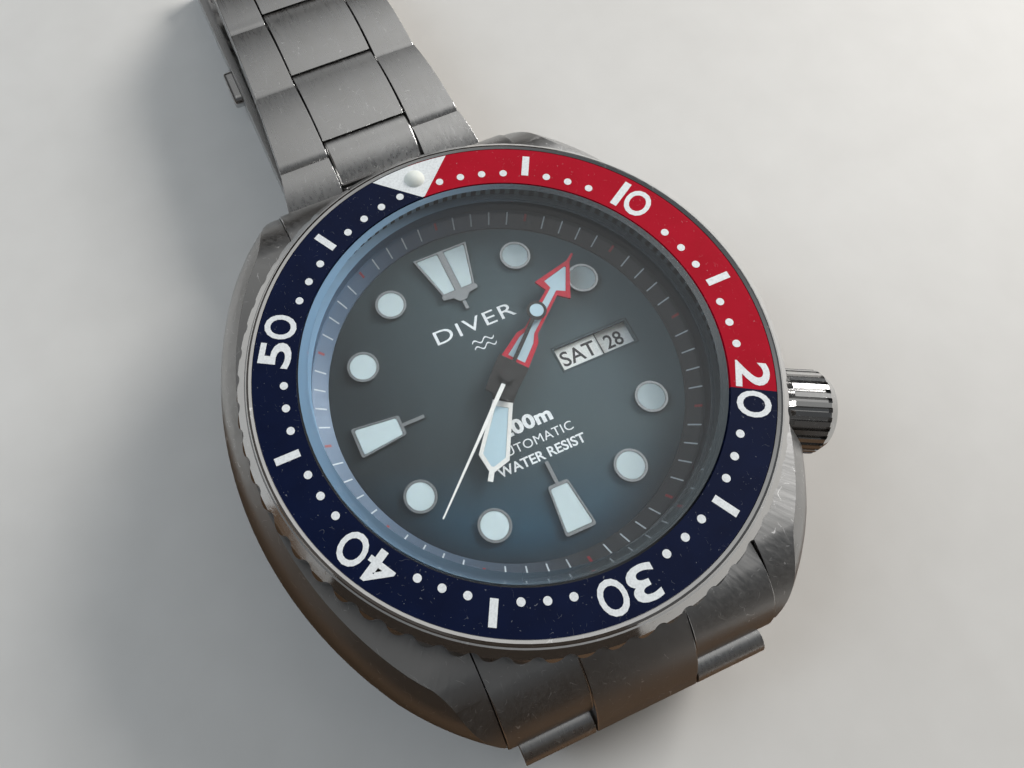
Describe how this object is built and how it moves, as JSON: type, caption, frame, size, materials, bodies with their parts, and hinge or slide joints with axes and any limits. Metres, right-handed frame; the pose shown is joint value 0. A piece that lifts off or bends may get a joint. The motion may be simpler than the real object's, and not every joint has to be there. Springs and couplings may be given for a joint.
{
  "type": "dive watch",
  "caption": "Steel cushion-case dive watch with a red and blue turning bezel, day and date window, automatic movement and link bracelet with a folding clasp.",
  "frame": {"origin": "on the axis of the hands, level with the case back's outer face", "axes": "+Z out of the dial, +Y to the dial's 12, +X to its 3"},
  "size_m": [0.0467, 0.0906, 0.0176],
  "materials": {
    "satin_steel": "satin, lightly worn",
    "polished_steel": "polished",
    "white_lacquer": "gloss lacquer",
    "insert_print": "anodised, red over the first twenty minutes and navy over the rest, white figures",
    "lume": "gloss over luminous paint",
    "crystal_glass": "polished mineral glass",
    "seal_rubber": "matt",
    "ring_paint": "matt, printed ticks",
    "dial_paint": "sunray brushed under lacquer",
    "disc_white": "matt white, black print",
    "ring_plastic": "matt",
    "plate_nickel": "nickel plated, satin",
    "screw_steel": "polished",
    "ruby": "polished synthetic ruby",
    "wheel_brass": "gilt, satin",
    "rotor_tungsten": "plated heavy metal, satin"
  },
  "bodies": {
    "case": {"case_middle": "satin_steel", "case_back": "satin_steel", "sealing_rings": "seal_rubber", "crown_tube": "polished_steel", "crystal": "crystal_glass", "chapter_ring": "ring_paint", "dial": "dial_paint", "hour_markers": "polished_steel", "movement_ring": "ring_plastic", "main_plate": "plate_nickel", "train_bridge": "plate_nickel", "balance_cock": "plate_nickel", "movement_screws": "screw_steel", "jewels": "ruby", "barrel_arbor": "screw_steel", "bezel_click_spring": "polished_steel", "lug_spring_bars": "polished_steel", "end_link_top": "satin_steel", "end_link_under": "satin_steel"},
    "bezel": {"bezel_ring": "polished_steel", "bezel_insert": "insert_print", "bezel_pearl": "lume"},
    "clutch": {"sliding_pinion": "screw_steel"},
    "crown": {"crown": "satin_steel", "stem": "polished_steel"},
    "minute": {"cannon_pinion": "screw_steel", "minute_hand": "polished_steel"},
    "hour": {"hour_wheel": "wheel_brass", "hour_hand": "polished_steel"},
    "minute_wheel": {"minute_wheel": "wheel_brass"},
    "seconds": {"fourth_wheel": "wheel_brass", "seconds_hand": "white_lacquer"},
    "third_wheel": {"third_wheel": "wheel_brass"},
    "centre_wheel": {"centre_wheel": "wheel_brass"},
    "barrel": {"barrel": "wheel_brass", "mainspring": "screw_steel"},
    "escape_wheel": {"escape_wheel": "screw_steel"},
    "pallet_fork": {"pallet_fork": "screw_steel"},
    "balance": {"balance_wheel": "wheel_brass", "hairspring": "screw_steel"},
    "rotor": {"rotor_weight": "rotor_tungsten"},
    "date_disc": {"date_disc": "disc_white"},
    "day_disc": {"day_disc": "disc_white"},
    "top_link_1": {"top_link_1": "satin_steel"},
    "top_link_2": {"top_link_2": "satin_steel"},
    "top_link_3": {"top_link_3": "satin_steel"},
    "top_link_4": {"top_link_4": "satin_steel"},
    "top_link_5": {"top_link_5": "satin_steel"},
    "under_link_1": {"under_link_1": "satin_steel"},
    "under_link_2": {"under_link_2": "satin_steel"},
    "under_link_3": {"under_link_3": "satin_steel"},
    "under_link_4": {"under_link_4": "satin_steel"},
    "under_link_5": {"under_link_5": "satin_steel"},
    "under_link_6": {"under_link_6": "satin_steel"},
    "clasp_inner_blade": {"clasp_inner_blade": "polished_steel"},
    "clasp_outer_blade": {"clasp_outer_blade": "polished_steel"},
    "clasp_cover": {"clasp_cover": "satin_steel"},
    "clasp_button_left": {"clasp_button_left": "polished_steel"},
    "clasp_button_right": {"clasp_button_right": "polished_steel"},
    "clasp_safety_lock": {"clasp_safety_lock": "satin_steel"}
  },
  "joints": [
    {"name": "bezel_turn", "type": "hinge", "parent": "case", "child": "bezel", "pos_m": [0, 0, 0.011], "axis": [0, 0, 1], "continuous": true},
    {"name": "crown_turn", "type": "hinge", "parent": "case", "child": "clutch", "pos_m": [0, 0, 0.0061], "axis": [0.891, -0.454, 0], "continuous": true},
    {"name": "crown_pull", "type": "slide", "parent": "clutch", "child": "crown", "axis": [0.891, -0.454, 0], "range_m": [0, 0.0018]},
    {"name": "minute_turn", "type": "hinge", "parent": "case", "child": "minute", "pos_m": [0, 0, 0.009], "axis": [0, 0, 1], "continuous": true},
    {"name": "hour_turn", "type": "hinge", "parent": "case", "child": "hour", "pos_m": [0, 0, 0.0085], "axis": [0, 0, 1], "continuous": true},
    {"name": "minute_wheel_turn", "type": "hinge", "parent": "case", "child": "minute_wheel", "pos_m": [-0.00208, 0.0012, 0.0066], "axis": [0, 0, 1], "continuous": true},
    {"name": "seconds_turn", "type": "hinge", "parent": "case", "child": "seconds", "pos_m": [0, 0, 0.005], "axis": [0, 0, 1], "continuous": true},
    {"name": "third_wheel_turn", "type": "hinge", "parent": "case", "child": "third_wheel", "pos_m": [0.00213, -0.00368, 0.004], "axis": [0, 0, 1], "continuous": true},
    {"name": "centre_wheel_turn", "type": "hinge", "parent": "case", "child": "centre_wheel", "pos_m": [0, 0, 0.004], "axis": [0, 0, 1], "continuous": true},
    {"name": "barrel_turn", "type": "hinge", "parent": "case", "child": "barrel", "pos_m": [0.00337, 0.00482, 0.005], "axis": [0, 0, 1], "continuous": true},
    {"name": "escape_wheel_turn", "type": "hinge", "parent": "case", "child": "escape_wheel", "pos_m": [-0.00335, -0.00235, 0.004], "axis": [0, 0, 1], "continuous": true},
    {"name": "pallet_rock", "type": "hinge", "parent": "case", "child": "pallet_fork", "pos_m": [-0.00573, -0.00402, 0.004], "axis": [0, 0, 1], "range_deg": [-5, 5]},
    {"name": "balance_swing", "type": "hinge", "parent": "case", "child": "balance", "pos_m": [-0.00762, -0.00533, 0.004], "axis": [0, 0, 1], "range_deg": [-270, 270]},
    {"name": "rotor_turn", "type": "hinge", "parent": "case", "child": "rotor", "pos_m": [0, 0, 0.0018], "axis": [0, 0, 1], "continuous": true},
    {"name": "date_disc_turn", "type": "hinge", "parent": "case", "child": "date_disc", "pos_m": [0, 0, 0.00707], "axis": [0, 0, 1], "continuous": true},
    {"name": "day_disc_turn", "type": "hinge", "parent": "case", "child": "day_disc", "pos_m": [0, 0, 0.00735], "axis": [0, 0, 1], "continuous": true},
    {"name": "top_link_1_hinge", "type": "hinge", "parent": "case", "child": "top_link_1", "pos_m": [0, 0.0245, 0.0026], "axis": [1, 0, 0], "range_deg": [0, 10]},
    {"name": "top_link_2_hinge", "type": "hinge", "parent": "top_link_1", "child": "top_link_2", "pos_m": [0, 0.0294, 0.0042], "axis": [1, 0, 0], "range_deg": [0, 18]},
    {"name": "top_link_3_hinge", "type": "hinge", "parent": "top_link_2", "child": "top_link_3", "pos_m": [0, 0.0381, 0.0042], "axis": [1, 0, 0], "range_deg": [0, 10]},
    {"name": "top_link_4_hinge", "type": "hinge", "parent": "top_link_3", "child": "top_link_4", "pos_m": [0, 0.0468, 0.0042], "axis": [1, 0, 0], "range_deg": [0, 10]},
    {"name": "top_link_5_hinge", "type": "hinge", "parent": "top_link_4", "child": "top_link_5", "pos_m": [0, 0.05546, 0.00344], "axis": [1, 0, 0], "range_deg": [0, 35]},
    {"name": "under_link_1_hinge", "type": "hinge", "parent": "case", "child": "under_link_1", "pos_m": [0, -0.0245, 0.0026], "axis": [-1, 0, 0], "range_deg": [0, 100]},
    {"name": "under_link_2_hinge", "type": "hinge", "parent": "under_link_1", "child": "under_link_2", "pos_m": [0, -0.02361, -0.00247], "axis": [-1, 0, 0], "range_deg": [0, 80]},
    {"name": "under_link_3_hinge", "type": "hinge", "parent": "under_link_2", "child": "under_link_3", "pos_m": [0, -0.01491, -0.00247], "axis": [-1, 0, 0], "range_deg": [0, 10]},
    {"name": "under_link_4_hinge", "type": "hinge", "parent": "under_link_3", "child": "under_link_4", "pos_m": [0, -0.00621, -0.00247], "axis": [-1, 0, 0], "range_deg": [0, 10]},
    {"name": "under_link_5_hinge", "type": "hinge", "parent": "under_link_4", "child": "under_link_5", "pos_m": [0, 0.00249, -0.00247], "axis": [-1, 0, 0], "range_deg": [0, 10]},
    {"name": "under_link_6_hinge", "type": "hinge", "parent": "under_link_5", "child": "under_link_6", "pos_m": [0, 0.01119, -0.00247], "axis": [-1, 0, 0], "range_deg": [0, 10]},
    {"name": "inner_blade_hinge", "type": "hinge", "parent": "under_link_6", "child": "clasp_inner_blade", "pos_m": [0, 0.01989, -0.00247], "axis": [-1, 0, 0], "range_deg": [0, 75]},
    {"name": "clasp_fold", "type": "hinge", "parent": "clasp_inner_blade", "child": "clasp_outer_blade", "pos_m": [0, 0.0512, -0.0025], "axis": [1, 0, 0], "range_deg": [0, 160]},
    {"name": "cover_hinge", "type": "hinge", "parent": "clasp_outer_blade", "child": "clasp_cover", "pos_m": [0, 0.0242, -0.00295], "axis": [1, 0, 0], "range_deg": [-160, 0]},
    {"name": "button_left_press", "type": "slide", "parent": "clasp_cover", "child": "clasp_button_left", "axis": [1, 0, 0], "range_m": [0, 0.0005]},
    {"name": "button_right_press", "type": "slide", "parent": "clasp_cover", "child": "clasp_button_right", "axis": [-1, 0, 0], "range_m": [0, 0.0005]},
    {"name": "safety_lock_hinge", "type": "hinge", "parent": "clasp_cover", "child": "clasp_safety_lock", "pos_m": [0, 0.0545, -0.00378], "axis": [-1, 0, 0], "range_deg": [0, 100]}
  ],
  "couplings": [
    {"joint": "hour_turn", "follows": "minute_turn", "ratio": 0.083333},
    {"joint": "minute_wheel_turn", "follows": "minute_turn", "ratio": -0.33333},
    {"joint": "third_wheel_turn", "follows": "seconds_turn", "ratio": -0.125},
    {"joint": "centre_wheel_turn", "follows": "seconds_turn", "ratio": 0.016667},
    {"joint": "barrel_turn", "follows": "seconds_turn", "ratio": -0.0027778},
    {"joint": "escape_wheel_turn", "follows": "seconds_turn", "ratio": -12},
    {"joint": "cover_hinge", "follows": "clasp_fold", "ratio": -1}
  ]
}
